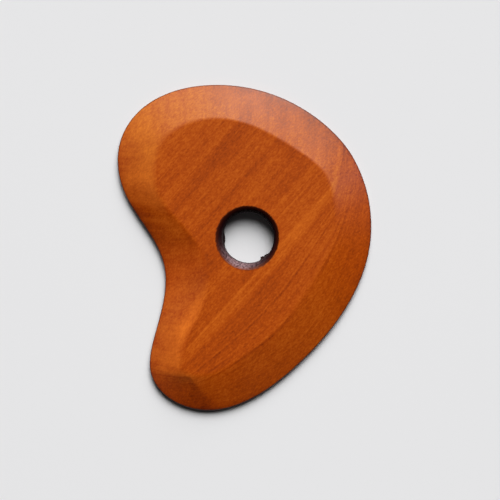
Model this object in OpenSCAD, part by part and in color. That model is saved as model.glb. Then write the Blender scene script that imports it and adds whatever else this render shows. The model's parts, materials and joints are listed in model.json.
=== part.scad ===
// Pottery rib: a kidney-shaped board of hardwood with a finger hole.
// A wide bevel is sanded all the way round its top, from a thin rim up to a flat plateau.
// The origin is on the finger hole's axis, at the flat underside, with +Z up.
// Seen from above, the outline runs anticlockwise through eight places:
// crown, head, waist, toe, foot, belly, back and brow.

/* [Outline: where its eight places lie] */
// How far the crown, the highest point of the outline, rises above the hole
crown_rise = 53.1; // [50:0.1:58]
// How far the crown lies to the left of the hole
crown_left = 11.1; // [5:0.1:18]
// How far the head reaches to the left of the hole
head_left = 45.9; // [42:0.1:50]
// How far the head's outermost point rises above the hole
head_rise = 26.9; // [23:0.1:31]
// How far the waist's innermost point lies to the left of the hole
waist_left = 29.2; // [27:0.1:33]
// How far the waist's innermost point drops below the hole
waist_drop = 14.9; // [11:0.1:18]
// How far the toe reaches to the left of the hole
toe_left = 34.9; // [32:0.1:38]
// How far the toe's outermost point drops below the hole
toe_drop = 44.6; // [42:0.1:47]
// How far the foot, the lowest point of the outline, drops below the hole
foot_drop = 61.1; // [59:0.1:65]
// How far the foot lies to the left of the hole
foot_left = 14.5; // [11:0.1:17]
// How far the middle of the belly lies to the right of the hole
belly_right = 21.1; // [19:0.1:24]
// How far the middle of the belly drops below the hole
belly_drop = 41.0; // [38:0.1:43]
// Direction in which the outline runs along the belly, in degrees from the right
belly_heading = 45.5; // [40:0.5:52]
// How far the back reaches to the right of the hole
back_right = 42.8; // [40:0.1:47]
// How far the back's outermost point rises above the hole
back_rise = 3.4; // [0:0.1:7]
// How far the brow lies to the right of the hole
brow_right = 36.3; // [34:0.1:38]
// How far the brow rises above the hole
brow_rise = 28.1; // [26:0.1:31]
// Direction in which the outline runs past the brow, in degrees from the right
brow_heading = 120; // [114:0.5:126]

/* [Outline: how full it is before and after each place] */
// Length of the curve's handle that comes to the crown
crown_before = 24.5; // [20:0.5:30]
// Length of the curve's handle that leaves the crown
crown_after = 22.5; // [18:0.5:27]
// Length of the curve's handle that comes to the head
head_before = 14; // [12:0.5:17]
// Length of the curve's handle that leaves the head
head_after = 18; // [15:0.5:21]
// Length of the curve's handle that comes to the waist
waist_before = 16.5; // [13:0.5:20]
// Length of the curve's handle that leaves the waist
waist_after = 11; // [9:0.5:13]
// Length of the curve's handle that comes to the toe
toe_before = 8; // [7:0.5:10]
// Length of the curve's handle that leaves the toe
toe_after = 10.5; // [9.5:0.5:12]
// Length of the curve's handle that comes to the foot
foot_before = 9.5; // [8.5:0.5:11]
// Length of the curve's handle that leaves the foot
foot_after = 14.5; // [12:0.5:17]
// Length of the curve's handle that comes to the belly
belly_before = 11; // [8:0.5:14]
// Length of the curve's handle that leaves the belly
belly_after = 9; // [7:0.5:13]
// Length of the curve's handle that comes to the back
back_before = 21; // [18:0.5:24]
// Length of the curve's handle that leaves the back
back_after = 5; // [4:0.5:8]
// Length of the curve's handle that comes to the brow
brow_before = 12; // [9:0.5:14]
// Length of the curve's handle that leaves the brow
brow_after = 11.5; // [8:0.5:15]

/* [Bevel: its width, square to the rim] */
// Width of the bevel at the crown
bevel_crown = 11.9; // [9:0.1:15]
// Width of the bevel at the shoulder, midway from the crown to the head
bevel_shoulder = 13.3; // [10:0.1:16]
// Width of the bevel at the head
bevel_head = 13.9; // [11:0.1:17]
// Width of the bevel at the flank, midway from the head to the waist
bevel_flank = 10.5; // [8:0.1:14]
// Width of the bevel at the waist
bevel_waist = 15; // [11:0.1:17]
// Width of the bevel at the shank, midway from the waist to the toe
bevel_shank = 11.2; // [9:0.1:13]
// Width of the bevel at the toe
bevel_toe = 12.2; // [9:0.1:13]
// Width of the bevel at the heel, midway from the toe to the foot
bevel_heel = 11.9; // [9:0.1:13]
// Width of the bevel at the foot
bevel_foot = 13.4; // [10:0.1:15]
// Width of the bevel at the sole, midway from the foot to the belly
bevel_sole = 14.5; // [11:0.1:17]
// Width of the bevel at the belly
bevel_belly = 14; // [11:0.1:17]
// Width of the bevel at the loin, midway from the belly to the back
bevel_loin = 14.6; // [11:0.1:18]
// Width of the bevel at the back
bevel_back = 12.3; // [9:0.1:15]
// Width of the bevel at the blade, midway from the back to the brow
bevel_blade = 11.7; // [9:0.1:15]
// Width of the bevel at the brow
bevel_brow = 11.2; // [9:0.1:15]
// Width of the bevel at the nape, midway from the brow to the crown
bevel_nape = 13.2; // [10:0.1:16]

/* [Thickness and edges] */
// Thickness of the board at its flat plateau, a quarter of an inch
board_t = 6.35; // [5:0.05:10]
// Thickness that the bevel leaves at the rim
rim_t = 2; // [1.2:0.1:3]
// Width and height of the small chamfer round the underside
under_ease = 0.4; // [0.1:0.05:0.6]
// How far the rounding of the rim's upper edge runs down and in
edge_round = 0.5; // [0.2:0.05:0.6]
// How far the softened ridge runs to each side of the line where bevel and plateau meet
ridge_soft = 1; // [0.2:0.1:2]

/* [Finger hole] */
// Diameter of the straight bore
hole_d = 18; // [15:0.1:22]
// Width of the flare round the hole's mouth, at the plateau
flare_w = 2; // [1:0.1:3]
// Depth of the flare round the hole's mouth
flare_depth = 2.1; // [1:0.1:3]

/* [Hidden] */
WOOD = "#AD4D18";

// The outline's eight places: where each lies, the direction there, and the handles before and after it
PLACES = [
    [[-crown_left, crown_rise], 180, crown_before, crown_after],
    [[-head_left, head_rise], 270, head_before, head_after],
    [[-waist_left, -waist_drop], 270, waist_before, waist_after],
    [[-toe_left, -toe_drop], 270, toe_before, toe_after],
    [[-foot_left, -foot_drop], 0, foot_before, foot_after],
    [[belly_right, -belly_drop], belly_heading, belly_before, belly_after],
    [[back_right, back_rise], 90, back_before, back_after],
    [[brow_right, brow_rise], brow_heading, brow_before, brow_after],
];
// The bevel's width at each place and midway to the next one
BEVELS = [
    bevel_crown, bevel_shoulder, bevel_head, bevel_flank,
    bevel_waist, bevel_shank, bevel_toe, bevel_heel,
    bevel_foot, bevel_sole, bevel_belly, bevel_loin,
    bevel_back, bevel_blade, bevel_brow, bevel_nape,
];
// Stations from one place to the next, and on all of the outline
SPAN_STEPS = 24;
STATIONS = SPAN_STEPS*len(PLACES);
// The crown and the foot are half the stations apart
SIDE = STATIONS/2;
// Steps across the rounded upper edge of the rim and across the softened ridge
EDGE_STEPS = 3;
RIDGE_STEPS = 4;
// Largest share of a bend's radius that the bevel may use up before it is narrowed
BEND_SHARE = 0.97;
// How far a cut runs past the face that it goes through
CLEAR = 1;
HOLE_SIDES = 96;

// A direction in degrees as a vector, and the vector to the left of a direction
function toward(heading) = [cos(heading), sin(heading)];
function left_of(v) = [-v.y, v.x];

// The four control points of the curve from place k to the next
function span(k) =
    let (from = PLACES[k], to = PLACES[(k + 1) % len(PLACES)])
    [from[0], from[0] + from[3]*toward(from[1]), to[0] - to[2]*toward(to[1]), to[0]];

// Point, velocity and acceleration of a cubic curve at t
function cubic(c, t) =
    pow(1 - t, 3)*c[0] + 3*pow(1 - t, 2)*t*c[1] + 3*(1 - t)*t*t*c[2] + pow(t, 3)*c[3];
function cubic_speed(c, t) =
    3*pow(1 - t, 2)*(c[1] - c[0]) + 6*(1 - t)*t*(c[2] - c[1]) + 3*t*t*(c[3] - c[2]);
function cubic_turn(c, t) =
    6*(1 - t)*(c[2] - 2*c[1] + c[0]) + 6*t*(c[3] - 2*c[2] + c[1]);

// Points of a quadratic curve, which rounds the corner b between a and c
function rounded(a, b, c, steps) =
    [for (i = [0:steps]) let (t = i/steps) pow(1 - t, 2)*a + 2*(1 - t)*t*b + t*t*c];

// How sharply the outline bends inward at t, as one over the radius, and 0 or less where it is hollow
function bend(c, t) =
    let (v = cubic_speed(c, t))
    (left_of(v)*cubic_turn(c, t))/pow(norm(v), 3);

// The bevel's width at u, counted in half spans, as a smooth curve through the named widths
function bevel_at(i) = BEVELS[i % len(BEVELS)];
function bevel_width(u) =
    let (
        i = floor(u),
        f = u - i,
        a = bevel_at(i + len(BEVELS) - 1),
        b = bevel_at(i),
        c = bevel_at(i + 1),
        d = bevel_at(i + 2)
    )
    b + f/2*(c - a + f*(2*a - 5*b + 4*c - d + f*(3*(b - c) + d - a)));

// The board's section where the bevel is w wide, as [distance in from the rim, height],
// from the underside up round the rim and the ridge to the plateau
function section(w) =
    let (
        edge = [0, rim_t],
        ridge = [w, board_t],
        slope = (ridge - edge)/norm(ridge - edge)
    )
    concat(
        [[under_ease, 0], [0, under_ease]],
        rounded(edge - [0, edge_round], edge, edge + edge_round*slope, EDGE_STEPS),
        rounded(ridge - ridge_soft*slope, ridge, ridge + [ridge_soft, 0], RIDGE_STEPS)
    );

// The section stood on the outline at station i, narrowed only where the bend is too tight for it
function section_at(i) =
    let (
        k = floor(i/SPAN_STEPS),
        t = (i % SPAN_STEPS)/SPAN_STEPS,
        curve = span(k),
        speed = cubic_speed(curve, t),
        inward = left_of(speed)/norm(speed),
        place = cubic(curve, t),
        width = bevel_width(2*(k + t)),
        squeeze = 1/max(1, bend(curve, t)*(width + ridge_soft)/BEND_SHARE)
    )
    [for (s = section(width)) let (p = place + squeeze*s[0]*inward) [p.x, p.y, s[1]]];

// The two triangles of a four-sided facet
function facet(a, b, c, d) = [[a, b, c], [a, c, d]];

// A flat face inside a ring of stations that starts at point number start,
// as rungs from the crown to the foot between its left and right sides
function ladder(start) =
    let (left = [for (i = [0:SIDE]) start + i])
    let (right = [for (i = [0:SIDE]) start + (STATIONS - i) % STATIONS])
    concat(
        [[left[0], left[1], right[1]]],
        [for (i = [1:SIDE - 2]) each facet(left[i], left[i + 1], right[i + 1], right[i])],
        [[left[SIDE - 1], left[SIDE], right[SIDE - 1]]]
    );

function turned_over(faces) = [for (f = faces) [f[0], f[2], f[1]]];

// The board without its hole, lofted through the sections round the outline
module board() {
    sections = [for (i = [0:STATIONS - 1]) section_at(i)];
    last_ring = len(sections[0]) - 1;
    points = [for (ring = [0:last_ring]) for (s = sections) s[ring]];
    wall = [
        for (ring = [0:last_ring - 1])
        for (i = [0:STATIONS - 1])
        let (low = ring*STATIONS, high = low + STATIONS, next = (i + 1) % STATIONS)
        each facet(low + i, high + i, high + next, low + next)
    ];
    underside = ladder(0);
    plateau = turned_over(ladder(last_ring*STATIONS));
    polyhedron(points, concat(wall, underside, plateau), convexity = 4);
}

// What is cut away for a finger: a straight bore and its flared mouth at the plateau
module finger_hole() {
    growth = 2*flare_w/flare_depth;
    flare_h = flare_depth + CLEAR;
    translate([0, 0, -CLEAR])
        cylinder(d = hole_d, h = board_t + 2*CLEAR, $fn = HOLE_SIDES);
    translate([0, 0, board_t - flare_depth])
        cylinder(d1 = hole_d, d2 = hole_d + growth*flare_h, h = flare_h, $fn = HOLE_SIDES);
}

module rib() {
    color(WOOD)
        difference() {
            board();
            finger_hole();
        }
}

rib();
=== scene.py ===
import json
import math

import bmesh
import bpy
import numpy as np
from mathutils import Matrix, Vector


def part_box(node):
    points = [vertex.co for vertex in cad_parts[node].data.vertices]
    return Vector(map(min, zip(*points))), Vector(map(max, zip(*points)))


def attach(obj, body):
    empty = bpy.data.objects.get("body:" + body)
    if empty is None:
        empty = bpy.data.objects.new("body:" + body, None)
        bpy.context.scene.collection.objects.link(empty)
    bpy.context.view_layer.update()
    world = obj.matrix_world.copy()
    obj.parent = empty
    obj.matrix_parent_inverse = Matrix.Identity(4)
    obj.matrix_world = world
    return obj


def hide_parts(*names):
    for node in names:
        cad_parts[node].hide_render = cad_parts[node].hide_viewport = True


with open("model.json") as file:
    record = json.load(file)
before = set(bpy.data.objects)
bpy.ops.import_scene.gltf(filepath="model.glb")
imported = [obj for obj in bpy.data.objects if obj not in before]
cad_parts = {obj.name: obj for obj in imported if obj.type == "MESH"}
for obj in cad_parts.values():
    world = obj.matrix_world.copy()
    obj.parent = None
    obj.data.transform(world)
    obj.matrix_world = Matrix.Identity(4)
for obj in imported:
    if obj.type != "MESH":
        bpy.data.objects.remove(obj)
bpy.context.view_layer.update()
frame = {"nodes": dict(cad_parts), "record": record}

bl_info = {
    "name": "Pottery Rib",
    "version": (1, 0, 0),
    "blender": (4, 5, 0),
    "location": "3D View > Sidebar > Pottery Rib",
    "description": "Dresses the packed pottery rib: a hand-sanded hardwood board with a burnt finger hole",
    "category": "Object",
}

NODE = "rib"
BODY = "root"

# One millimetre in metres
MM = 0.001

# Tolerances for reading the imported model: height, points that are one, the least turn of an edge
# that counts, a share of an edge, and what stands in for 0 where two parallel lines would divide by it
LEVEL_TOLERANCE = 0.01 * MM
MERGE_DISTANCE = 0.001 * MM
LEAST_TURN = math.radians(1)
SHARE_TOLERANCE = 1e-6
PARALLEL = 1e-12

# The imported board's thickness, and its finger hole's radius
BOARD_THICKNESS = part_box(NODE)[1].z
BORE_RADIUS = next(
    mount["dims"]["r_mm"] for mount in frame["record"]["mounts"] if mount["name"] == "finger_hole"
) * MM

# Settings that properties of one kind share
LENGTH = {"unit": "LENGTH", "precision": 6}
ANGLE = {"unit": "ROTATION"}
COLOUR = {"subtype": "COLOR", "min": 0, "max": 1}
SHARE = {"subtype": "FACTOR", "min": 0, "max": 1}


class RibShape(bpy.types.PropertyGroup):
    """Sizes of the board: those of its hand work, and those that the frame has no name for."""

    stations: bpy.props.IntProperty(
        name="Stations",
        description="Number of sections round the outline",
        default=576,
        min=192,
        max=960,
    )
    rim_height: bpy.props.FloatProperty(
        name="Rim",
        description="Thickness of wood that the bevel leaves at the rim",
        default=2.0 * MM,
        **LENGTH,
    )
    under_ease: bpy.props.FloatProperty(
        name="Underside edge",
        description="Width of the softened edge round the underside",
        default=0.4 * MM,
        **LENGTH,
    )
    edge_round: bpy.props.FloatProperty(
        name="Rim rounding",
        description="How far the rounding of the rim's upper edge reaches down and in",
        default=0.45 * MM,
        **LENGTH,
    )
    ridge_crisp: bpy.props.FloatProperty(
        name="Crisp ridge",
        description="Half width of the ridge where it is still sharp, from the crown to the brow",
        default=0.5 * MM,
        **LENGTH,
    )
    ridge_soft: bpy.props.FloatProperty(
        name="Soft ridge",
        description="Half width of the ridge where sanding has rounded it most",
        default=2.2 * MM,
        **LENGTH,
    )
    bulge: bpy.props.FloatProperty(
        name="Bevel bulge",
        description="How far the bevel swells above a straight line from rim to ridge",
        default=0.14 * MM,
        **LENGTH,
    )
    toe_hollow: bpy.props.FloatProperty(
        name="Toe facet",
        description="Depth of the facet that is sanded into the bevel round the toe",
        default=0.42 * MM,
        **LENGTH,
    )
    flare_depth: bpy.props.FloatProperty(
        name="Flare depth",
        description="Depth of the burnt flare round the hole's mouth",
        default=2.1 * MM,
        **LENGTH,
    )
    sanding_depth: bpy.props.FloatProperty(
        name="Sanding hollows",
        description="Depth of the shallow hollows that hand sanding left in the bevel",
        default=0.10 * MM,
        **LENGTH,
    )
    sanding_width: bpy.props.FloatProperty(
        name="Hollow width",
        description="Distance from one sanding hollow to the next",
        default=11 * MM,
        **LENGTH,
    )
    grain_relief: bpy.props.FloatProperty(
        name="Raised grain",
        description="Height of the raised grain",
        default=0.012 * MM,
        **LENGTH,
    )
    grain_width: bpy.props.FloatProperty(
        name="Raised grain's width",
        description="Distance from one raised fibre to the next",
        default=1.6 * MM,
        **LENGTH,
    )
    seed: bpy.props.IntProperty(
        name="Seed",
        description="Picks where the sanding hollows and the raised grain fall",
        default=4,
        min=0,
        max=1000,
    )
    tear_depth: bpy.props.FloatProperty(
        name="Torn fibres",
        description="How far torn fibres reach into the bore at its lower edge",
        default=0.45 * MM,
        **LENGTH,
    )


class WoodLook(bpy.types.PropertyGroup):
    """Colours and grain of the oiled hardwood and its burnt edges."""

    deep: bpy.props.FloatVectorProperty(
        name="Deep wood",
        description="Colour of the darkest wood",
        default=(0.13, 0.0115, 0.0003),
        **COLOUR,
    )
    heart: bpy.props.FloatVectorProperty(
        name="Heartwood",
        description="Colour of most of the wood",
        default=(0.40, 0.060, 0.0008),
        **COLOUR,
    )
    pale: bpy.props.FloatVectorProperty(
        name="Pale wood",
        description="Colour of the palest wood",
        default=(0.725, 0.170, 0.011),
        **COLOUR,
    )
    scorch: bpy.props.FloatVectorProperty(
        name="Scorched wood",
        description="Colour of the wood next to a burnt edge",
        default=(0.05, 0.006, 0.001),
        **COLOUR,
    )
    char: bpy.props.FloatVectorProperty(
        name="Char",
        description="Colour of the burnt wall of the finger hole",
        default=(0.013, 0.0020, 0.0025),
        **COLOUR,
    )
    # Pale specks of ash in the char, placed only where the flare faces the lamp, so that they also paint
    # its sheen there
    ash_sheen: bpy.props.FloatVectorProperty(
        name="Ash",
        description="Colour of the pale specks in the char",
        default=(0.29, 0.175, 0.185),
        **COLOUR,
    )
    fibre_angle: bpy.props.FloatProperty(
        name="Fibre direction",
        description="Direction of the fibres, from the board's X axis",
        default=math.radians(48),
        **ANGLE,
    )
    ring_slant: bpy.props.FloatProperty(
        name="Ring slant",
        description="How far a growth ring moves across the grain for each unit of depth",
        default=2.2,
    )
    gloss: bpy.props.FloatProperty(
        name="Gloss",
        description="Strength of the oiled surface's reflection, where one half is that of clear varnish",
        default=0.26,
        **SHARE,
    )
    roughness: bpy.props.FloatProperty(
        name="Roughness",
        description="Roughness of the oiled and sanded surface",
        default=0.41,
        **SHARE,
    )
    char_gloss: bpy.props.FloatProperty(
        name="Char gloss",
        description="Strength of the char's reflection, where one half is that of clear varnish",
        default=0.06,
        **SHARE,
    )
    char_roughness: bpy.props.FloatProperty(
        name="Char roughness",
        description="Roughness of the char",
        default=0.6,
        **SHARE,
    )


class StageLook(bpy.types.PropertyGroup):
    """The floor, the lamp and the camera."""

    floor_size: bpy.props.FloatProperty(
        name="Floor size",
        description="Length of each side of the square floor",
        default=6.0,
        **LENGTH,
    )
    floor_colour: bpy.props.FloatVectorProperty(
        name="Floor",
        description="Colour of the floor",
        default=(0.785, 0.785, 0.793),
        **COLOUR,
    )
    window_azimuth: bpy.props.FloatProperty(
        name="Window azimuth",
        description="Direction from which the soft main light comes, from the X axis",
        default=math.radians(77),
        **ANGLE,
    )
    window_height: bpy.props.FloatProperty(
        name="Window height",
        description="Angle of the soft main light above the floor",
        default=math.radians(35.5),
        **ANGLE,
    )
    window_size: bpy.props.FloatProperty(
        name="Window size",
        description="Diameter of the soft main light",
        default=3.3,
        **LENGTH,
    )
    window_spread: bpy.props.FloatProperty(
        name="Window spread",
        description="Width of the beam from each point of the soft main light, which dims its edges",
        default=math.radians(60),
        **ANGLE,
    )
    window_share: bpy.props.FloatProperty(
        name="Window share",
        description="Share of the floor's light that comes from the window; the room gives the rest",
        default=0.98,
        **SHARE,
    )
    window_distance: bpy.props.FloatProperty(
        name="Window distance",
        description="Distance of the soft main light from the board",
        default=3.0,
        **LENGTH,
    )
    camera_distance: bpy.props.FloatProperty(
        name="Camera distance",
        description="Distance of the camera from the point that it looks at",
        default=450 * MM,
        **LENGTH,
    )
    camera_tilt: bpy.props.FloatProperty(
        name="Camera tilt",
        description="Angle of the camera off the straight view down",
        default=math.radians(4.5),
        **ANGLE,
    )
    camera_azimuth: bpy.props.FloatProperty(
        name="Camera azimuth",
        description="Direction towards which the camera is tilted, from the X axis",
        default=math.radians(45),
        **ANGLE,
    )
    camera_target: bpy.props.FloatVectorProperty(
        name="Camera target",
        description="Point in the middle of the picture",
        subtype="XYZ",
        unit="LENGTH",
        default=(0.645 * MM, -4.306 * MM, 3.0 * MM),
    )
    camera_lens: bpy.props.FloatProperty(
        name="Lens",
        description="Focal length in millimetres on a 36 mm sensor",
        default=92.95,
    )


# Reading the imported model


def level_loops(height):
    """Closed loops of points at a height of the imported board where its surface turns, longest first."""
    mesh = bmesh.new()
    mesh.from_mesh(frame["nodes"][NODE].data)
    bmesh.ops.remove_doubles(mesh, verts=mesh.verts, dist=MERGE_DISTANCE)
    mesh.normal_update()

    def turns(edge):
        level = all(abs(v.co.z - height) < LEVEL_TOLERANCE for v in edge.verts)
        return level and len(edge.link_faces) == 2 and edge.calc_face_angle() > LEAST_TURN

    links = {}
    for edge in filter(turns, mesh.edges):
        for a, b in (edge.verts, reversed(edge.verts)):
            links.setdefault(a, []).append(b)
    loops = []
    while links:
        here = next(iter(links))
        loop = []
        while here in links:
            loop.append((here.co.x, here.co.y))
            onward = [v for v in links.pop(here) if v in links]
            here = onward[0] if onward else None
        loops.append(anticlockwise(np.array(loop)))
    mesh.free()
    return sorted(loops, key=lambda loop: side_lengths(loop).sum(), reverse=True)


def side_lengths(points):
    """Distance from each point of a closed loop to the next."""
    return np.linalg.norm(np.roll(points, -1, 0) - points, axis=1)


def anticlockwise(points):
    """The loop's points, turned round where they run clockwise."""
    ahead = np.roll(points, -1, 0)
    area = (points[:, 0] * ahead[:, 1] - points[:, 1] * ahead[:, 0]).sum() / 2
    return points if area > 0 else points[::-1]


def even_stations(points, count):
    """Points at even steps along the smooth closed curve through the given points."""
    sides = side_lengths(points)
    along = np.concatenate([[0], np.cumsum(sides)])
    span = sides + np.roll(sides, 1)
    slopes = (np.roll(points, -1, 0) - np.roll(points, 1, 0)) / span[:, None]
    wanted = np.arange(count) * along[-1] / count
    piece = np.searchsorted(along, wanted, side="right") - 1
    following = (piece + 1) % len(points)
    t = ((wanted - along[piece]) / sides[piece])[:, None]
    reach = sides[piece][:, None]
    return (
        (1 + 2 * t) * (1 - t) ** 2 * points[piece]
        + t * (1 - t) ** 2 * reach * slopes[piece]
        + t * t * (3 - 2 * t) * points[following]
        - t * t * (1 - t) * reach * slopes[following]
    )


def inward_normals(points):
    """Directions of length 1 that point into an anticlockwise loop."""
    ahead = np.roll(points, -1, 0) - np.roll(points, 1, 0)
    ahead /= np.linalg.norm(ahead, axis=1)[:, None]
    return np.c_[-ahead[:, 1], ahead[:, 0]]


def reach_of(points, directions, ring):
    """Distance from each point, along its direction, to the first crossing with a closed ring."""
    start = ring[None, :, :] - points[:, None, :]
    edge = (np.roll(ring, -1, 0) - ring)[None, :, :]
    heading = directions[:, None, :]
    turn = heading[..., 0] * edge[..., 1] - heading[..., 1] * edge[..., 0]
    turn = np.where(abs(turn) < PARALLEL, PARALLEL, turn)
    distance = (start[..., 0] * edge[..., 1] - start[..., 1] * edge[..., 0]) / turn
    share = (start[..., 0] * heading[..., 1] - start[..., 1] * heading[..., 0]) / turn
    crossing = (share > -SHARE_TOLERANCE) & (share < 1 + SHARE_TOLERANCE) & (distance > 0)
    return np.where(crossing, distance, np.inf).min(1)


def polar(points):
    """Directions of points round the hole, in degrees anticlockwise from +X."""
    return np.degrees(np.arctan2(points[:, 1], points[:, 0])) % 360


def by_direction(around, table):
    """The columns of a table that begins with directions, read off at other directions."""
    direction, *columns = zip(*table)
    return [np.interp(around, direction, column, period=360) for column in columns]


def lobe(around, middle, half):
    """A swelling round a middle direction, from 1 there down to 1/e at its half width, in degrees."""
    turn = (around - middle + 180) % 360 - 180
    return np.exp(-((turn / half) ** 2))


def bend(t, start, corner, end):
    """A curve from start to end that leans towards a corner, as t goes from 0 to 1."""
    return (1 - t) ** 2 * start + 2 * t * (1 - t) * corner + t * t * end


def steps(count):
    """The share of the way that each of a number of equal steps has covered."""
    return np.arange(1, count + 1) / count


# The board's shape

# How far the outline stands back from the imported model's, so that its rounding stays inside
OUTLINE_INSET = 0.015 * MM
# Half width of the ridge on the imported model, where its plateau begins
PACKED_RIDGE = 1.0 * MM
# Share of the ridge's softness at directions round the hole, in degrees anticlockwise from +X
RIDGE_SOFTNESS = (
    (0, 0.75),
    (25, 0.25),
    (40, 0.02),
    (100, 0.0),
    (125, 0.3),
    (145, 0.95),
    (165, 0.6),
    (175, 0.25),
    (190, 0.25),
    (215, 0.75),
    (224, 0.9),
    (232, 0.8),
    (240, 0.45),
    (258, 0.2),
    (275, 0.4),
    (300, 0.55),
    (330, 0.7),
)
# The toe's facet: the corner of the plateau that it starts from, and the directions of its two edges
TOE_CORNER = np.array([-20.3, -48.8]) * MM
TOE_EDGES = np.radians([171, 309])

# How far in from its eased edge the underside is scorched
SCORCH_WIDTH = 1.2 * MM

# How many rings of points each part adds, where the two edges begin with one more, and the
# heights of those on the rim's wall, as shares of it
UNDER_EDGE_RINGS = 3
WALL_RINGS = (0.1, 0.5, 0.9)
EDGE_RINGS = 4
BEVEL_RINGS = 16
RIDGE_RINGS = 8
PLATEAU_RINGS = 20
FLARE_RINGS = 9
BORE_RINGS = 10
UNDER_RINGS = 8

# How strongly rings crowd towards the hole, on the plateau and on the underside
PLATEAU_CROWDING = 1.6
UNDER_CROWDING = 1.5

# Powers that round the flare, in its radius and in its depth
FLARE_INWARD = 1.15
FLARE_DOWNWARD = 1.35

# The marks of a ring, as they are where it gives none. rim goes from 0 on the rim's wall to 1 where
# its rounded edge ends, and is 2 further in. bevel is 1 on the bevel. climb goes from 0 at the rim to
# 1 at the ridge. hole is the distance from the hole's edge, and below 0 in the flare and the bore.
MARKS = {"rim": 2.0, "bevel": 0.0, "climb": 1.0, "hole": 20 * MM}


def toe_facet(points):
    """How far inside the toe's facet points lie, from 0 along its two edges to 1 in the middle."""
    turn = np.arctan2(points[:, 1] - TOE_CORNER[1], points[:, 0] - TOE_CORNER[0]) % (2 * math.pi)
    from_middle = (turn - TOE_EDGES.mean()) / (np.ptp(TOE_EDGES) / 2)
    return np.maximum(1 - from_middle**2, 0)


def board_sections(shape):
    """Rings of points, from the underside out, up and in to the hole and back, with the marks of each."""
    outline = even_stations(level_loops(shape.under_ease)[0], shape.stations)
    plateau, mouth = level_loops(BOARD_THICKNESS)[:2]
    inward = inward_normals(outline)
    outline = outline + inward * OUTLINE_INSET
    (softness,) = by_direction(polar(outline), RIDGE_SOFTNESS)
    soft = shape.ridge_crisp + (shape.ridge_soft - shape.ridge_crisp) * softness
    beyond = np.minimum(soft, PACKED_RIDGE)
    width = reach_of(outline, inward, plateau) - PACKED_RIDGE
    rim = shape.rim_height
    slope = (BOARD_THICKNESS - rim) / width
    rings = []

    def add(place, height, **marks):
        rings.append((np.c_[place, np.broadcast_to(height, len(place))], marks))

    def inside(distance):
        """The outline, moved in by a distance."""
        return outline + inward * np.broadcast_to(distance, len(outline))[:, None]

    def bevel_height(distance):
        """Height of the bevel, whose swell or hollow is deepest half way up."""
        share = np.clip(distance / width, 0, 1)
        swell = shape.bulge - shape.toe_hollow * toe_facet(inside(distance))
        return rim + slope * distance + swell * 4 * share * (1 - share)

    # The eased edge of the underside and the wall of the rim
    for share in (0, *steps(UNDER_EDGE_RINGS)):
        angle = math.pi / 2 * share
        distance = shape.under_ease * (1 - math.sin(angle))
        add(inside(distance), shape.under_ease * (1 - math.cos(angle)), rim=0.0, climb=0.0)
    wall_top = rim - shape.edge_round
    for share in WALL_RINGS:
        height = shape.under_ease + (wall_top - shape.under_ease) * share
        add(inside(0), height, rim=0.0, climb=0.0)
    # The rounded upper edge of the rim
    inner = bevel_height(shape.edge_round)
    for t in (0, *steps(EDGE_RINGS)):
        distance = bend(t, 0, 0, shape.edge_round)
        add(inside(distance), bend(t, wall_top, rim, inner), rim=t, climb=0.0)
    # The bevel, up to where the softened ridge begins
    for share in steps(BEVEL_RINGS):
        distance = shape.edge_round + share * (width - soft - shape.edge_round)
        add(inside(distance), bevel_height(distance), bevel=1.0, climb=share)
    # The ridge: the bevel's line bends over to the plateau
    low = bevel_height(width - soft)
    for t in steps(RIDGE_RINGS):
        distance = bend(t, width - soft, width, width + beyond)
        height = bend(t, low, BOARD_THICKNESS, BOARD_THICKNESS)
        add(inside(distance), height, bevel=(1 - t) ** 2)
    # The plateau, up to the hole's mouth
    edge = rings[-1][0][:, :2]
    angles = np.unwrap(np.arctan2(edge[:, 1], edge[:, 0]))
    circle = np.c_[np.cos(angles), np.sin(angles)]
    mouth_radius = np.linalg.norm(mouth, axis=1).mean()
    for share in steps(PLATEAU_RINGS):
        t = 1 - (1 - share) ** PLATEAU_CROWDING
        place = edge + t * (circle * mouth_radius - edge)
        add(place, BOARD_THICKNESS, hole=np.linalg.norm(place, axis=1) - mouth_radius)
    # The flare, convex from the mouth down to the straight bore
    flare = mouth_radius - BORE_RADIUS
    slant = math.hypot(flare, shape.flare_depth)
    for t in steps(FLARE_RINGS):
        radius = mouth_radius - flare * math.sin(math.pi / 2 * t) ** FLARE_INWARD
        height = BOARD_THICKNESS - shape.flare_depth * t**FLARE_DOWNWARD
        add(circle * radius, height, hole=-slant * t)
    # The bore, with torn fibres at its lower edge
    top = BOARD_THICKNESS - shape.flare_depth
    for t in steps(BORE_RINGS):
        tear = shape.tear_depth * torn(polar(circle), 1 - t)
        add(circle * (BORE_RADIUS - tear)[:, None], top * (1 - t), hole=-slant)
    # The flat underside, back out to where its scorched edge begins
    outer = rings[0][0][:, :2]
    start = rings[-1][0][:, :2]
    for share in steps(UNDER_RINGS)[:-1]:
        place = start + share**UNDER_CROWDING * (outer - start)
        away = np.linalg.norm(place, axis=1) - BORE_RADIUS
        add(place, 0, hole=np.maximum(away, 0))
    add(inside(shape.under_ease + SCORCH_WIDTH), 0)
    return rings


# Torn places at the bore's lower edge: direction and half width in degrees, depth, and raggedness
TEARS = (
    (183, 14, 2.7, 0.25),
    (305, 6, 3.2, 1.0),
    (316, 5, 1.4, 1.0),
    (255, 20, 0.25, 1.0),
    (60, 30, 0.2, 1.0),
)

# Notches in torn places: size, number round the hole and phase, and the depth of a tear without them
TEAR_NOTCHES = ((0.2, 29, 0), (0.12, 67, 1))
TEAR_LEVEL = 0.65

# How high tears reach, as a share of the bore's wall, and the power with which they fall off
TEAR_TOP = 0.45
TEAR_FALL = 1.5


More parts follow.
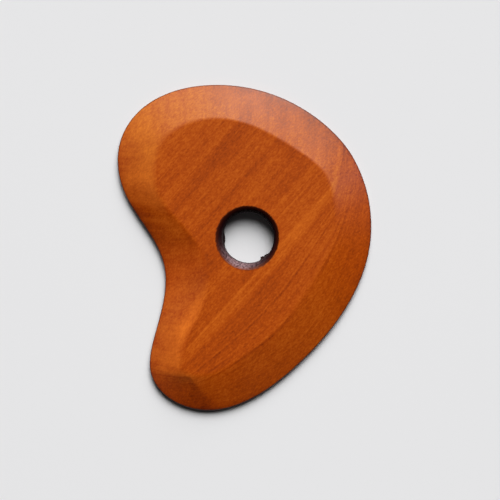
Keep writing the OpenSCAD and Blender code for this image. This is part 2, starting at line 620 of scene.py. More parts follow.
def torn(around, height):
    """How far torn fibres reach into the bore at a share of its height, where 1 is the tear depth."""
    turn = np.radians(around)
    notches = sum(size * np.sin(turn * number + phase) for size, number, phase in TEAR_NOTCHES)
    reach = sum(
        depth * (TEAR_LEVEL + ragged * notches) * lobe(around, middle, half)
        for middle, half, depth, ragged in TEARS
    )
    return reach * max(0.0, 1 - height / TEAR_TOP) ** TEAR_FALL


def ring_mesh(name, rings):
    """A closed mesh through rings of points, the last joined to the first, with every mark stored."""
    count = len(rings[0][0])
    points = np.concatenate([ring for ring, _ in rings])
    index = np.arange(len(rings) * count).reshape(len(rings), count)
    above = np.roll(index, -1, 0)
    faces = np.stack([index, np.roll(index, -1, 1), np.roll(above, -1, 1), above], axis=-1)
    mesh = bpy.data.meshes.new(name)
    mesh.from_pydata(points.tolist(), [], faces.reshape(-1, 4).tolist())
    for mark, missing in MARKS.items():
        values = [np.broadcast_to(given.get(mark, missing), count) for _, given in rings]
        store(mesh, mark, np.concatenate(values))
    mesh.shade_smooth()
    mesh.update()
    mesh.validate()
    return mesh


def store(mesh, name, values):
    """Keeps one number for each point of the mesh under a name."""
    attribute = mesh.attributes.new(name, "FLOAT", "POINT")
    attribute.data.foreach_set("value", np.asarray(values, np.float32))


def stored(mesh, name):
    """The numbers that are kept under a name."""
    values = np.zeros(len(mesh.vertices), np.float32)
    mesh.attributes[name].data.foreach_get("value", values)
    return values


def vectors(source, field):
    """A row of three numbers for each item of a mesh's list."""
    values = np.zeros(len(source) * 3, np.float32)
    source.foreach_get(field, values)
    return values.reshape(-1, 3)


# Node helpers


def add_node(tree, kind, inputs=(), **settings):
    """A new node with its settings, and with its inputs linked or set."""
    node = tree.nodes.new(kind)
    for name, value in settings.items():
        setattr(node, name, value)
    feed(tree, node, inputs)
    return node


def feed(tree, node, inputs):
    """Links a node's inputs, by name or number, to sockets, or sets them to plain numbers or colours."""
    for key, source in dict(inputs).items():
        if isinstance(source, bpy.types.NodeSocket):
            tree.links.new(source, node.inputs[key])
        else:
            node.inputs[key].default_value = source


def calculate(tree, operation, *values):
    """The result of a sum on sockets and numbers."""
    return add_node(tree, "ShaderNodeMath", enumerate(values), operation=operation).outputs[0]


def stretched(tree, vector, scale):
    """A vector with each of its parts multiplied by a scale of its own."""
    inputs = {0: vector, 1: scale}
    return add_node(tree, "ShaderNodeVectorMath", inputs, operation="MULTIPLY").outputs[0]


def scaled(tree, vector, scale):
    """A vector multiplied by a number."""
    inputs = {0: vector, "Scale": scale}
    return add_node(tree, "ShaderNodeVectorMath", inputs, operation="SCALE").outputs[0]


def attribute_of(tree, name):
    return add_node(tree, "ShaderNodeAttribute", attribute_name=name).outputs["Fac"]


def fade(tree, value, start, end, low, high):
    """A smooth change from low to high as the value goes from start to end."""
    inputs = {"Value": value, "From Min": start, "From Max": end, "To Min": low, "To Max": high}
    node = add_node(tree, "ShaderNodeMapRange", inputs, interpolation_type="SMOOTHSTEP")
    return node.outputs["Result"]


def noise_at(tree, place, detail, seed):
    """Noise from about -0.5 to 0.5 whose patches are about one unit wide."""
    inputs = {"Vector": place, "W": seed, "Scale": 1, "Detail": detail}
    noise = add_node(tree, "ShaderNodeTexNoise", inputs, noise_dimensions="4D")
    return calculate(tree, "SUBTRACT", noise.outputs["Fac"], 0.5)


def fibre_noise(tree, place, length, width, detail, seed):
    """Noise from -1 to 1 whose patches are a length along the fibres and a width across, in millimetres."""
    noise = noise_at(tree, stretched(tree, place, (1 / length, 1 / width, 1 / width)), detail, seed)
    return calculate(tree, "MULTIPLY", noise, 2.0)


def mix_colour(tree, share, first, second):
    """The first colour, of which a share gives way to the second."""
    node = add_node(tree, "ShaderNodeMix", {"Factor": share}, data_type="RGBA")
    colours = [number for number, socket in enumerate(node.inputs) if socket.type == "RGBA"]
    feed(tree, node, zip(colours, (first, second)))
    return next(socket for socket in node.outputs if socket.type == "RGBA")


def opaque(colour):
    return (*colour, 1)


def colour_ramp(tree, value, stops):
    """The colour at a value, between stops that each have a position and a colour."""
    ramp = add_node(tree, "ShaderNodeValToRGB", {"Fac": value})
    elements = ramp.color_ramp.elements
    while len(elements) < len(stops):
        elements.new(0.5)
    for element, (position, colour) in zip(elements, stops):
        element.position = position
        element.color = opaque(colour)
    return ramp.outputs["Color"]


def new_material(name):
    material = bpy.data.materials.new(name)
    material.use_nodes = True
    return material, material.node_tree, material.node_tree.nodes["Principled BSDF"]


# The wood

# Growth bands across the grain, from the belly to the shoulder:
# distance from the hole's axis in millimetres, and how light the wood is there, round one half
GROWTH_BANDS = (
    (-54, 0.50),
    (-44, 0.46),
    (-36, 0.49),
    (-30.2, 0.46),
    (-28.5, 0.50),
    (-24, 0.49),
    (-21.6, 0.46),
    (-19, 0.49),
    (-15.6, 0.44),
    (-14.4, 0.50),
    (-12.5, 0.60),
    (-9.7, 0.58),
    (-8.7, 0.51),
    (-6.5, 0.53),
    (-4, 0.52),
    (-0.7, 0.56),
    (1.4, 0.47),
    (3.5, 0.47),
    (8.5, 0.52),
    (12.8, 0.49),
    (14.5, 0.46),
    (16.8, 0.53),
    (19.5, 0.50),
    (23.2, 0.55),
    (25.3, 0.42),
    (27.7, 0.43),
    (30.5, 0.54),
    (34.5, 0.51),
    (38.5, 0.57),
    (44, 0.53),
    (52, 0.56),
)

# How far the bands are drawn on both sides of the hole's axis, in millimetres
BAND_REACH = 60

# Thin growth lines: distance from the hole's axis and half width in millimetres, and tone, which
# says how much lighter the wood is, or below 0 how much darker
GROWTH_LINES = (
    (-37.5, 0.35, -0.06),
    (-34.0, 0.60, -0.06),
    (-30.0, 0.65, -0.14),
    (-28.6, 0.35, 0.08),
    (-26.0, 0.25, -0.05),
    (-21.5, 0.35, -0.11),
    (-20.6, 0.30, 0.06),
    (-18.6, 0.30, -0.07),
    (-17.8, 0.25, 0.06),
    (-15.6, 0.40, -0.05),
    (-10.5, 0.40, 0.08),
    (-9.3, 0.35, -0.07),
    (-3.6, 0.25, 0.05),
    (1.0, 0.35, -0.05),
    (5.6, 0.25, 0.04),
    (10.6, 0.25, -0.03),
    (14.5, 0.45, -0.03),
    (21.0, 0.25, 0.04),
    (24.9, 0.50, -0.03),
    (33.0, 0.30, -0.03),
)

# How growth rings bow past a distance from the hole's axis towards the belly: that distance, the
# middle of the bow along the fibres, both in millimetres, and its strength
BOW_START = -10
BOW_MIDDLE = -11.5
BOW = 0.0004


def grain_place(tree, look):
    """The point in millimetres, turned so that X runs along the fibres, and its three parts."""
    place = add_node(tree, "ShaderNodeTexCoord").outputs["Object"]
    inputs = {"Vector": place, "Scale": (1 / MM,) * 3, "Rotation": (0, 0, -look.fibre_angle)}
    turned = add_node(tree, "ShaderNodeMapping", inputs, vector_type="POINT").outputs[0]
    return turned, *add_node(tree, "ShaderNodeSeparateXYZ", {0: turned}).outputs


def ring_distance(tree, look, along, across, height):
    """Distance across the growth rings, which slant through the board and bow towards the belly."""
    depth = calculate(tree, "SUBTRACT", height, BOARD_THICKNESS / MM)
    slanted = calculate(tree, "MULTIPLY_ADD", depth, look.ring_slant, across)
    past_start = calculate(tree, "MINIMUM", calculate(tree, "SUBTRACT", slanted, BOW_START), 0)
    from_middle = calculate(tree, "SUBTRACT", along, BOW_MIDDLE)
    squared = calculate(tree, "MULTIPLY", from_middle, from_middle)
    bow = calculate(tree, "MULTIPLY", calculate(tree, "MULTIPLY", past_start, squared), BOW)
    return calculate(tree, "ADD", slanted, bow)


def growth_tone(tree, distance):
    """How light the wood is at a distance across the growth rings, round one half."""
    share = calculate(tree, "DIVIDE", calculate(tree, "ADD", distance, BAND_REACH), 2 * BAND_REACH)
    stops = [((place + BAND_REACH) / (2 * BAND_REACH), (tone,) * 3) for place, tone in GROWTH_BANDS]
    return colour_ramp(tree, share, stops)


# Grain over the growth bands: what it follows, length along the fibres and width in millimetres,
# detail, seed and strength. The last layer is the finest, and is also felt as relief.
GRAIN = (
    ("rings", 60, 1.3, 1.0, 7.7, 0.110),
    ("rings", 35, 0.5, 1.0, 6.1, 0.100),
    ("fibres", 3.0, 1.8, 1.0, 5.5, 0.070),
    ("fibres", 1.8, 0.9, 1.0, 8.3, 0.090),
    ("fibres", 0.9, 0.45, 1.0, 1.3, 0.230),
)

# Other noise in the wood, as length along the fibres and width in millimetres, detail and seed: how
# growth rings drift, where growth lines show, flecks, ragged burnt edges, and specks in the char
DRIFT = (70, 14, 1.0, 3.1)
LINE_PLACES = (14, 3, 1.0, 2.6)
FLECKS = (1.6, 0.30, 1.0, 9.2)
RAGGED = (1.4, 0.8, 3.0, 2.2)
SPECKLE = (0.75, 0.5, 2.0, 4.4)

# Fades, as the two values between which they run and their levels there: growth lines by their noise
# and by the bevel mark, flecks by theirs, scorch and char by millimetres from the hole's edge, scorch
# by the rim mark, and ash by its specks
LINE_FADE = (-0.35, 0.15, 0.2, 1.0)
BEVEL_FADE = (0.0, 1.0, 1.0, 0.4)
FLECK_FADE = (0.42, 0.70, 0.0, 1.0)
SCORCH_FADE = (0.5, -0.1, 0.0, 1.0)
CHAR_FADE = (0.0, -1.3, 0.0, 1.0)
RIM_FADE = (1.25, 0.35, 0.0, 0.85)
ASH_FADE = (-0.5, 0.3, 0.0, 0.95)

# How much less the grain that follows the rings changes with height than across them, how much
# weaker it is on the bevel, and the tone of flecks
RING_HEIGHT_SHARE = 0.2
BEVEL_CALM = 0.25
FLECK_TONE = 0.10

# Tones at which the wood has its deep, its heart and its pale colour
COLOUR_TONES = (0.1, 0.5, 1.0)

# How ragged the burn is, in millimetres at the hole and in the rim's mark
HOLE_RAGGED = 0.35
RIM_RAGGED = 0.25

# Where ash lies on the flare and paints its sheen, on the side that faces the lamp: the middle direction
# and half width in degrees, how much further out char begins there, in millimetres, and the share of the
# scorch that it spares
ASH_SHEEN_PLACE = (250, 37)
ASH_WIDTH = 0.3
ASH_SPARES = 0.4

# Where the burn reaches least far and stays red: the middle direction and half width in degrees,
# and how much further in it begins there, in millimetres
EMBER_PLACE = (345, 45)
EMBER_WIDTH = 0.38

# How much rougher the finest fibres make the wood, how much more the char's crust stands up than
# they do, and the strength and height of that relief
FIBRE_ROUGHNESS = 0.04
CRUST_RELIEF = 3.0
RELIEF_STRENGTH = 0.35
RELIEF_HEIGHT = 0.035 * MM


def wood_tone(tree, look, place, along, across, height):
    """How light the wood is, round one half, and the finest fibres in it."""
    bevel = attribute_of(tree, "bevel")

    # Growth bands, and thin growth lines that come and go
    straight = ring_distance(tree, look, along, across, height)
    distance = calculate(tree, "ADD", straight, fibre_noise(tree, place, *DRIFT))
    low = calculate(tree, "MULTIPLY", height, RING_HEIGHT_SHARE)
    parts = enumerate((along, distance, low))
    rings = add_node(tree, "ShaderNodeCombineXYZ", parts).outputs[0]
    lines = 0.0
    for middle, half_width, strength in GROWTH_LINES:
        gap = calculate(tree, "ABSOLUTE", calculate(tree, "SUBTRACT", distance, middle))
        lines = calculate(tree, "ADD", lines, fade(tree, gap, 0.0, 2 * half_width, strength, 0.0))
    presence = fade(tree, fibre_noise(tree, rings, *LINE_PLACES), *LINE_FADE)
    presence = calculate(tree, "MULTIPLY", presence, fade(tree, bevel, *BEVEL_FADE))
    tone = calculate(tree, "MULTIPLY_ADD", lines, presence, growth_tone(tree, distance))

    # Streaks, fibres and flecks
    calmed = calculate(tree, "MULTIPLY_ADD", bevel, -BEVEL_CALM, 1.0)
    followed = {"rings": (rings, calmed), "fibres": (place, 1.0)}
    for source, *noise, strength in GRAIN:
        vector, share = followed[source]
        fibres = fibre_noise(tree, vector, *noise)
        strong = calculate(tree, "MULTIPLY", fibres, share)
        tone = calculate(tree, "MULTIPLY_ADD", strong, strength, tone)
    flecks = fade(tree, fibre_noise(tree, place, *FLECKS), *FLECK_FADE)
    tone = calculate(tree, "MULTIPLY_ADD", flecks, FLECK_TONE, tone)

    # Painted sheen and end grain from the way in which fibres are cut, and lighter and darker wood with
    # painted light and shade on the bevel
    for mark in ("fibre_sheen_and_end_grain", "painted_light_and_tone"):
        tone = calculate(tree, "ADD", tone, attribute_of(tree, mark))
    return tone, fibres


def wood_colour(tree, look, tone):
    """The colour of wood of a tone, with the hue that is painted on the bevel in each direction: golden
    light, ruddy shade and a blue sheen.
    """
    stops = tuple(zip(COLOUR_TONES, (look.deep, look.heart, look.pale)))
    plain = colour_ramp(tree, tone, stops)
    red, green, blue = add_node(tree, "ShaderNodeSeparateColor", {"Color": plain}).outputs
    # Painted golden light and ruddy shade change the green, and a painted sheen adds blue
    painted_green = calculate(tree, "MULTIPLY_ADD", green, attribute_of(tree, "painted_light_hue"), green)
    sheen_blue = calculate(tree, "ADD", blue, attribute_of(tree, "painted_blue_sheen"))
    sheen_blue = calculate(tree, "MAXIMUM", sheen_blue, 0.0)
    parts = enumerate((red, painted_green, sheen_blue))
    return add_node(tree, "ShaderNodeCombineColor", parts).outputs[0]


def burnt_edges(tree, look, place, wood):
    """The wood's colour with its burnt edges, and the crust that stands up in the char."""
    ragged = fibre_noise(tree, place, *RAGGED)
    from_rim = calculate(tree, "MULTIPLY_ADD", ragged, RIM_RAGGED, attribute_of(tree, "rim"))
    from_hole = calculate(tree, "DIVIDE", attribute_of(tree, "hole"), MM)
    from_hole = calculate(tree, "MULTIPLY_ADD", ragged, HOLE_RAGGED, from_hole)
    from_hole = calculate(tree, "MULTIPLY_ADD", attribute_of(tree, "ember"), EMBER_WIDTH, from_hole)

    # Scorched wood at the rim and round the hole
    # Where ash paints the flare's sheen, less wood is scorched and char begins further out
    ash_sheen = attribute_of(tree, "ash_sheen")
    kept = calculate(tree, "MULTIPLY_ADD", ash_sheen, -ASH_SPARES, 1.0)
    scorched = calculate(tree, "MULTIPLY", fade(tree, from_hole, *SCORCH_FADE), kept)
    scorched = calculate(tree, "MAXIMUM", scorched, fade(tree, from_rim, *RIM_FADE))
    colour = mix_colour(tree, scorched, wood, opaque(look.scorch))

    # Char in the hole, with specks of ash that paint its sheen where the flare faces the lamp
    from_char = calculate(tree, "MULTIPLY_ADD", ash_sheen, -ASH_WIDTH, from_hole)
    charred = fade(tree, from_char, *CHAR_FADE)
    speckle = fibre_noise(tree, place, *SPECKLE)
    ash_sheen_specks = calculate(tree, "MULTIPLY", fade(tree, speckle, *ASH_FADE), ash_sheen)
    char = mix_colour(tree, ash_sheen_specks, opaque(look.char), opaque(look.ash_sheen))
    colour = mix_colour(tree, charred, colour, char)
    return colour, calculate(tree, "MULTIPLY", speckle, charred)


def wood_material(look, name, gloss, roughness):
    """Oiled hardwood: growth bands, streaks and fibres along the grain, and burnt edges."""
    material, tree, shader = new_material(name)
    place, along, across, height = grain_place(tree, look)
    tone, fibres = wood_tone(tree, look, place, along, across, height)
    colour, crust = burnt_edges(tree, look, place, wood_colour(tree, look, tone))
    crusted = calculate(tree, "MULTIPLY_ADD", crust, CRUST_RELIEF, fibres)
    relief = {"Strength": RELIEF_STRENGTH, "Distance": RELIEF_HEIGHT, "Height": crusted}
    finish = {
        "Base Color": colour,
        "Specular IOR Level": gloss,
        "Roughness": calculate(tree, "MULTIPLY_ADD", fibres, FIBRE_ROUGHNESS, roughness),
        "Normal": add_node(tree, "ShaderNodeBump", relief).outputs[0],
    }
    feed(tree, shader, finish)
    return material


# Hand finishing, as geometry nodes

# The finishing tree's inputs and their kinds of socket
FINISHING_INPUTS = {
    "Geometry": "NodeSocketGeometry",
    "Sanding depth": "NodeSocketFloat",
    "Sanding width": "NodeSocketFloat",
    "Grain height": "NodeSocketFloat",
    "Grain width": "NodeSocketFloat",
    "Fibre angle": "NodeSocketFloat",
    "Seed": "NodeSocketInt",
    "Finish": "NodeSocketMaterial",
}

# Detail of the noise in both kinds of relief, and the scale of raised grain along and across the fibres
RELIEF_DETAIL = 1.0
GRAIN_SCALE = (0.08, 1, 1)


def finishing_tree():
    """Geometry nodes that sand shallow hollows into the bevel and raise its grain."""
    tree = bpy.data.node_groups.new("hand_finishing", "GeometryNodeTree")
    tree.interface.new_socket("Geometry", in_out="OUTPUT", socket_type="NodeSocketGeometry")
    sockets = {}
    for name, kind in FINISHING_INPUTS.items():
        sockets[name] = tree.interface.new_socket(name, in_out="INPUT", socket_type=kind).identifier
    given = add_node(tree, "NodeGroupInput").outputs
    place = add_node(tree, "GeometryNodeInputPosition").outputs[0]
    normal = add_node(tree, "GeometryNodeInputNormal").outputs[0]
    bevel = add_node(tree, "GeometryNodeInputNamedAttribute", {"Name": "bevel"}, data_type="FLOAT")

    def relief(vector, width, height):
        finer = scaled(tree, vector, calculate(tree, "DIVIDE", 1.0, width))
        noise = noise_at(tree, finer, RELIEF_DETAIL, given["Seed"])
        noise = calculate(tree, "MULTIPLY", noise, height)
        return calculate(tree, "MULTIPLY", noise, bevel.outputs["Attribute"])

    hollows = relief(place, given["Sanding width"], given["Sanding depth"])
    inputs = {"Vector": place, "Angle": given["Fibre angle"]}
    turned = add_node(tree, "ShaderNodeVectorRotate", inputs, rotation_type="Z_AXIS", invert=True)
    drawn_out = stretched(tree, turned.outputs[0], GRAIN_SCALE)
    grain = relief(drawn_out, given["Grain width"], given["Grain height"])

    push = scaled(tree, normal, calculate(tree, "ADD", hollows, grain))
    inputs = {"Geometry": given["Geometry"], "Offset": push}
    moved = add_node(tree, "GeometryNodeSetPosition", inputs).outputs[0]
    real = add_node(tree, "GeometryNodeRealizeInstances", {"Geometry": moved}).outputs[0]
    inputs = {"Geometry": real, "Material": given["Finish"]}
    finished = add_node(tree, "GeometryNodeSetMaterial", inputs).outputs[0]
    add_node(tree, "NodeGroupOutput", {"Geometry": finished})
    return tree, sockets


def finish_by_hand(piece, shape, look, material):
    """Runs the finishing tree on the piece and keeps the result as a plain mesh."""
    tree, sockets = finishing_tree()
    modifier = piece.modifiers.new("hand_finishing", "NODES")
    modifier.node_group = tree
    for name, value in (
        ("Sanding depth", shape.sanding_depth),
        ("Sanding width", shape.sanding_width),
        ("Grain height", shape.grain_relief),
        ("Grain width", shape.grain_width),
        ("Fibre angle", look.fibre_angle),
        ("Seed", shape.seed),
        ("Finish", material),
    ):
        modifier[sockets[name]] = value
    graph = bpy.context.evaluated_depsgraph_get()
    made = bpy.data.meshes.new_from_object(
        piece.evaluated_get(graph), preserve_all_data_layers=True, depsgraph=graph
    )
    piece.modifiers.remove(modifier)
    piece.data = made
    made.name = piece.name


# Marks on the wood, some of which paint light, shade and sheen into its colour. A tone says how much
# lighter the wood is, or below 0 how much darker.

# How far a bevel leans, as a sine, and how many times that lean its tone still changes
BEVEL_LEAN = 0.33
CUT_LIMIT = 1.2

# Painted sheen, as a tone, of a bevel that leans across the fibres, and the tone of one that leans along
# them and shows darker end grain
SIDE_GRAIN_SHEEN = 0.15
END_GRAIN_TONE = -0.04

# The bevel's painted hue at directions round the hole, in degrees anticlockwise from +X: the share by which
# its green grows, as painted golden light above 0 and ruddy shade below, and the blue that a painted sheen
# adds to it
BEVEL_PAINTED_HUES = (
    (0, 0.0, 0.0),
    (15, 0.08, 0.004),
    (30, 0.38, 0.022),
    (45, 0.28, 0.004),
    (70, 0.27, -0.004),
    (90, 0.30, -0.006),
    (108, 0.36, 0.001),
    (122, 0.39, 0.019),
    (135, 0.24, 0.011),
    (150, 0.0, 0.005),
    (165, -0.14, -0.002),
    (180, -0.06, 0.0),
    (207, -0.14, 0.002),
    (225, 0.05, 0.007),
    (240, -0.05, 0.003),
    (255, -0.13, -0.002),
    (270, 0.0, 0.001),
    (310, 0.04, 0.0),
    (345, -0.05, -0.002),
)

# The bevel's tone at directions round the hole, in the same degrees: at the rim, and at the ridge. It
# paints light and shade for the way each side faces the lamp, with the wood's own lighter and darker
# patches
BEVEL_LIGHT_AND_TONES = (
    (5, -0.19, -0.13),
    (12, -0.13, -0.14),
    (19, -0.07, -0.07),
    (27, -0.05, -0.02),
    (38, -0.01, 0.0),
    (50, -0.13, 0.07),
    (66, -0.11, 0.13),
    (84, -0.11, 0.02),
    (102, -0.14, -0.02),
    (117, -0.05, 0.0),
    (129, 0.03, 0.02),
    (140, -0.03, 0.15),
    (150, -0.04, 0.31),
    (161, 0.14, 0.19),
    (172, -0.12, 0.26),
    (187, 0.02, 0.10),
    (207, 0.07, 0.34),
    (215, 0.05, 0.10),
    (222, 0.02, -0.05),
    (228, -0.03, -0.05),
    (232, 0.0, 0.15),
    (237, 0.05, 0.35),
    (245, 0.02, 0.22),
    (250, -0.09, 0.18),
    (257, -0.19, 0.13),
    (266, -0.18, -0.04),
    (277, -0.18, -0.06),
    (288, -0.16, -0.01),
    (297, -0.13, -0.04),
    (309, -0.10, -0.06),
    (325, -0.21, -0.03),
    (345, -0.19, -0.09),
)

# Painted shade on the toe's facet, which faces away from the lamp, as a tone, and the share of the way to
# its middle from which it is full
FACET_SHADE = -0.08
FACET_FULL = 0.2

# Tone by which the bevel is darker right at its rim, and the share of the bevel that this reaches over
RIM_DARKENING = -0.06
RIM_DARKENING_REACH = 0.15

# Painted shade along the crease of the ridge over the flank: middle direction and half width in degrees,
# tone, and width as a share of the bevel. It is full from a bevel mark on.
CREASE_SHADE = (178, 15, -0.17, 0.12)
CREASE_SHADE_FULL = 0.5

# Spots of lighter or darker wood on the upper side: x, y and radius in millimetres, and tone
TINTS = (
    (24, 1, 12, 0.09),
    (-31.5, 9.6, 4, 0.08),
    (14, -17, 9, 0.04),
    (2, 17, 9, 0.05),
    (-18, -40, 8, 0.04),
    (-1, 47, 4, 0.13),
    (7, 49, 3.5, -0.06),
    (8, 31, 4, 0.08),
    (15, 32, 4, -0.10),
    (19, 38.5, 3.5, 0.05),
    (-33, 45, 4, -0.09),
    (-39, 30, 4, -0.06),
    (-41, 20, 3.5, 0.11),
    (-33, 30, 3, 0.06),
    (-24, 15, 6, 0.05),
    (32, 15, 4, 0.05),
    (36, 7, 5, 0.06),
    (32, -17, 4, 0.04),
    (27, -26, 5, 0.06),
    (5, -14, 7, -0.06),
    (4, -44, 5, 0.07),
    (2, -40, 3.5, -0.06),
    (-11, -47, 5, -0.08),
    (-9, -56, 5, 0.11),
    (-27, -41, 6, -0.14),
    (-24.5, -39.5, 3.5, -0.10),
    (-29, -34, 3, 0.09),
    (-30, -28, 3.5, -0.12),
    (-17.5, -36, 3.5, -0.05),
    (-21.5, -28.5, 2.5, -0.10),
    (-14, -8, 3.5, -0.06),
    (-32.5, -37, 2, -0.14),
    (-30, -47, 4, 0.05),
    (-21, -48, 3.5, 0.06),
    (-19.5, -8.5, 4, -0.24),
    (-18, -15, 4, 0.06),
)

# Over how many millimetres below the flare the ash and its painted sheen fade, and the least share of them
# that stays
ASH_FALL = 2
LEAST_ASH = 0.2

# A face whose points all have a hole mark below this has the duller finish of char
BURNT_BELOW = -0.2 * MM


def fibre_sheen_and_end_grain_of(normals, look):
    """The tone that each point has from the way in which its fibres are cut: painted sheen across them,
    darker end grain along them.
    """
    fibre = np.array([math.cos(look.fibre_angle), math.sin(look.fibre_angle), 0])
    across = np.array([-fibre[1], fibre[0], 0])
    side_cut = np.minimum(abs(normals @ across) / BEVEL_LEAN, CUT_LIMIT) ** 2
    end_cut = np.minimum(abs(normals @ fibre) / BEVEL_LEAN, CUT_LIMIT) ** 2
    return SIDE_GRAIN_SHEEN * side_cut + END_GRAIN_TONE * end_cut


def painted_light_and_tone_of(mesh, points, normals, around):
    """The tone of each point: painted light and shade by the bevel's direction, painted shade on the toe's
    facet and in the crease, a darker rim, and spots of lighter or darker wood.
    """
    climb = stored(mesh, "climb")
    bevel = stored(mesh, "bevel")
    # Painted light and shade by the bevel's direction, with the wood's own patches
    at_rim, at_ridge = by_direction(around, BEVEL_LIGHT_AND_TONES)
    painted_light_and_tone = at_rim * (1 - climb) + at_ridge * climb
    # Painted shade on the toe's facet
    painted_light_and_tone += FACET_SHADE * np.minimum(toe_facet(points * MM) / FACET_FULL, 1)
    painted_light_and_tone *= np.maximum(np.sqrt(bevel), 1 - climb)
    # Darker right at the rim
    painted_light_and_tone += RIM_DARKENING * np.maximum(1 - climb / RIM_DARKENING_REACH, 0)
    # Painted shade along the crease over the flank
    middle, half, tone, reach = CREASE_SHADE
    close = np.exp(-(((1 - climb) / reach) ** 2)) * np.minimum(bevel / CREASE_SHADE_FULL, 1)
    painted_light_and_tone += tone * close * lobe(around, middle, half)
    for x, y, radius, tone in TINTS:
        gap = (points[:, 0] - x) ** 2 + (points[:, 1] - y) ** 2
        painted_light_and_tone += tone * np.exp(-gap / radius**2) * np.maximum(normals[:, 2], 0)
    return painted_light_and_tone


def mark_wood(mesh, shape, look):
    """Stores on each point the tone and hue of its wood with painted light, shade and sheen, and where ash
    paints the char's sheen and the burn is thin.
    """
    points = vectors(mesh.vertices, "co") / MM
    normals = vectors(mesh.vertex_normals, "vector")
    around = polar(points)
    lean = np.minimum(np.hypot(normals[:, 0], normals[:, 1]) / BEVEL_LEAN, 1)
    greener, bluer = by_direction(around, BEVEL_PAINTED_HUES)
    over_foot = points[:, 2] - (BOARD_THICKNESS - shape.flare_depth) / MM
    in_flare = np.clip(1 + over_foot / ASH_FALL, LEAST_ASH, 1)
    # Painted sheen where fibres lie across the bevel, darker end grain where they run into it
    store(mesh, "fibre_sheen_and_end_grain", fibre_sheen_and_end_grain_of(normals, look))
    # Painted light and shade on the bevel, facet and crease, a darker rim, and lighter and darker wood
    store(mesh, "painted_light_and_tone", painted_light_and_tone_of(mesh, points, normals, around))
    # Painted golden light, ruddy shade and blue sheen, by the way the bevel faces
    store(mesh, "painted_light_hue", lean * greener)
    store(mesh, "painted_blue_sheen", lean * bluer)
    # Ash specks that paint the char's sheen where the flare faces the lamp
    store(mesh, "ash_sheen", in_flare * lobe(around, *ASH_SHEEN_PLACE))
    store(mesh, "ember", lobe(around, *EMBER_PLACE))


def burn_wall(mesh, material):
    """Gives the flare and the bore the duller finish of char."""
    mesh.materials.append(material)
    corners = np.zeros(len(mesh.loops), np.int32)
    mesh.loops.foreach_get("vertex_index", corners)
    highest = stored(mesh, "hole")[corners].reshape(len(mesh.polygons), -1).max(1)
    mesh.polygons.foreach_set("material_index", (highest < BURNT_BELOW).astype(np.int32))


# The board


class RIB_OT_make_board(bpy.types.Operator):
    """Make the hand-sanded wooden board with its burnt finger hole"""

    bl_idname = "rib.make_board"
    bl_label = "Board"

    def execute(self, context):
        shape = context.scene.rib_shape
        look = context.scene.rib_wood
        mesh = ring_mesh("board", board_sections(shape))
        board = bpy.data.objects.new("board", mesh)
        context.scene.collection.objects.link(board)
        oiled = wood_material(look, "oiled_hardwood", look.gloss, look.roughness)
        burnt = wood_material(look, "burnt_hardwood", look.char_gloss, look.char_roughness)
        mesh.materials.append(oiled)
        finish_by_hand(board, shape, look, oiled)
        mark_wood(board.data, shape, look)
        burn_wall(board.data, burnt)
        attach(board, BODY)
        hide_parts(NODE)
        return {"FINISHED"}


# The stage

# Width of the camera's sensor in millimetres, and the nearest that it sees
SENSOR_WIDTH = 36
NEAREST = 10 * MM

# How many points stand for the lamp, along each side of a square round it, where its light is summed
LAMP_POINTS = 40


def floor_material(stage):
    material, tree, shader = new_material("pale_floor")
    colour = opaque(stage.floor_colour)
    feed(tree, shader, {"Base Color": colour, "Roughness": 1, "Specular IOR Level": 0})
    return material


def room_light(scene, stage):
    """Even light from the room, with the floor's own tone where the camera looks past the floor."""
    world = bpy.data.worlds.new("room")
    world.use_nodes = True
    scene.world = world
    tree = world.node_tree
    fill = tree.nodes["Background"]
    feed(tree, fill, {"Color": (1, 1, 1, 1), "Strength": 1 - stage.window_share})
    seen = add_node(tree, "ShaderNodeBackground", {"Color": opaque(stage.floor_colour)})
    path = add_node(tree, "ShaderNodeLightPath")
    inputs = enumerate((path.outputs["Is Camera Ray"], fill.outputs[0], seen.outputs[0]))
    mix = add_node(tree, "ShaderNodeMixShader", inputs)
    feed(tree, tree.nodes["World Output"], {"Surface": mix.outputs[0]})


def light_per_watt(height, size, distance, spread):
    """Light that falls on the floor at the board for each watt of a round lamp, summed over its area."""
    side = ((np.arange(LAMP_POINTS) + 0.5) / LAMP_POINTS - 0.5) * size
    across, up = np.meshgrid(side, side)
    from_middle = np.hypot(across, up)
    inside = from_middle < size / 2
    away = distance * math.cos(height) - up * math.sin(height)
    rise = distance * math.sin(height) + up * math.cos(height)
    length = np.sqrt(away**2 + rise**2 + across**2)
    seen = distance / length * np.maximum(rise, 0) / length / length**2
    widest = math.tan(spread / 2)
    beam = np.maximum(widest - from_middle / distance, 0) / (widest - spread / 2)
    return (seen * beam)[inside].mean() / math.pi


def direction_of(azimuth, height):
    """The direction at an azimuth from the X axis and at an angle above the floor."""
    level = math.cos(height)
    return Vector((level * math.cos(azimuth), level * math.sin(azimuth), math.sin(height)))


def window_light(scene, stage):
    """A large soft lamp, strong enough that it gives the floor its share of plain light."""
    height = stage.window_height
    lamp = bpy.data.lights.new("window", "AREA")
    lamp.shape = "DISK"
    lamp.size = stage.window_size
    lamp.spread = stage.window_spread
    per_watt = light_per_watt(height, stage.window_size, stage.window_distance, stage.window_spread)
    lamp.energy = stage.window_share * math.pi / per_watt
    window = bpy.data.objects.new("window", lamp)
    scene.collection.objects.link(window)
    direction = direction_of(stage.window_azimuth, height)
    window.location = direction * stage.window_distance
    window.rotation_euler = direction.to_track_quat("Z", "Y").to_euler()


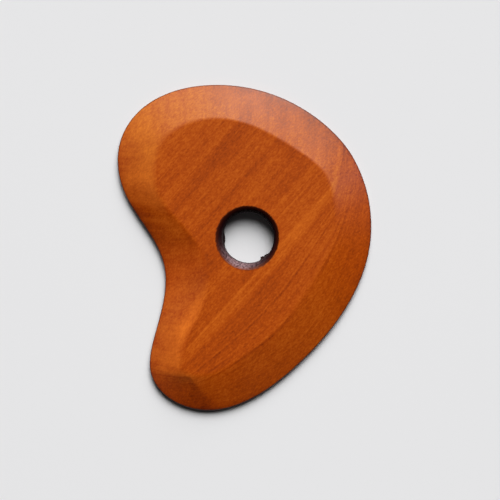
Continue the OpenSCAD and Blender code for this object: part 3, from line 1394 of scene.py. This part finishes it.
def set_camera(scene, stage):
    """The camera looks almost straight down, tilted a little, with +Y upwards in the picture."""
    data = bpy.data.cameras.new("camera")
    data.sensor_width = SENSOR_WIDTH
    data.lens = stage.camera_lens
    data.clip_start = NEAREST
    camera = bpy.data.objects.new("camera", data)
    scene.collection.objects.link(camera)
    back = direction_of(stage.camera_azimuth, math.pi / 2 - stage.camera_tilt)
    right = Vector((0, 1, 0)).cross(back).normalized()
    up = back.cross(right)
    camera.location = Vector(stage.camera_target) + back * stage.camera_distance
    camera.rotation_euler = Matrix((right, up, back)).transposed().to_euler()
    scene.camera = camera


class RIB_OT_make_stage(bpy.types.Operator):
    """Make the pale floor, the soft light and the camera"""

    bl_idname = "rib.make_stage"
    bl_label = "Floor, light and camera"

    def execute(self, context):
        scene = context.scene
        stage = scene.rib_stage
        scene.view_settings.view_transform = "Standard"
        mesh = bpy.data.meshes.new("floor")
        half = stage.floor_size / 2
        corners = [(-half, -half, 0), (half, -half, 0), (half, half, 0), (-half, half, 0)]
        mesh.from_pydata(corners, [], [(0, 1, 2, 3)])
        mesh.materials.append(floor_material(stage))
        floor = bpy.data.objects.new("floor", mesh)
        scene.collection.objects.link(floor)
        room_light(scene, stage)
        window_light(scene, stage)
        set_camera(scene, stage)
        return {"FINISHED"}


# The add-on


class RIB_PT_sidebar(bpy.types.Panel):
    """Lists the pieces of the pottery rib and their settings"""

    bl_idname = "RIB_PT_sidebar"
    bl_label = "Pottery Rib"
    bl_space_type = "VIEW_3D"
    bl_region_type = "UI"
    bl_category = "Pottery Rib"

    def draw(self, context):
        for operator, settings in (
            (RIB_OT_make_board, (context.scene.rib_shape, context.scene.rib_wood)),
            (RIB_OT_make_stage, (context.scene.rib_stage,)),
        ):
            box = self.layout.box()
            box.operator(operator.bl_idname)
            for group in settings:
                for name in group.bl_rna.properties.keys():
                    if name not in ("rna_type", "name"):
                        box.prop(group, name)


GROUPS = {"rib_shape": RibShape, "rib_wood": WoodLook, "rib_stage": StageLook}
CLASSES = (*GROUPS.values(), RIB_OT_make_board, RIB_OT_make_stage, RIB_PT_sidebar)


def register():
    for cls in CLASSES:
        bpy.utils.register_class(cls)
    for name, group in GROUPS.items():
        setattr(bpy.types.Scene, name, bpy.props.PointerProperty(type=group))


def unregister():
    for name in GROUPS:
        delattr(bpy.types.Scene, name)
    for cls in reversed(CLASSES):
        bpy.utils.unregister_class(cls)


def main():
    register()
    bpy.ops.rib.make_stage()
    bpy.ops.rib.make_board()


if __name__ == "__main__":
    main()
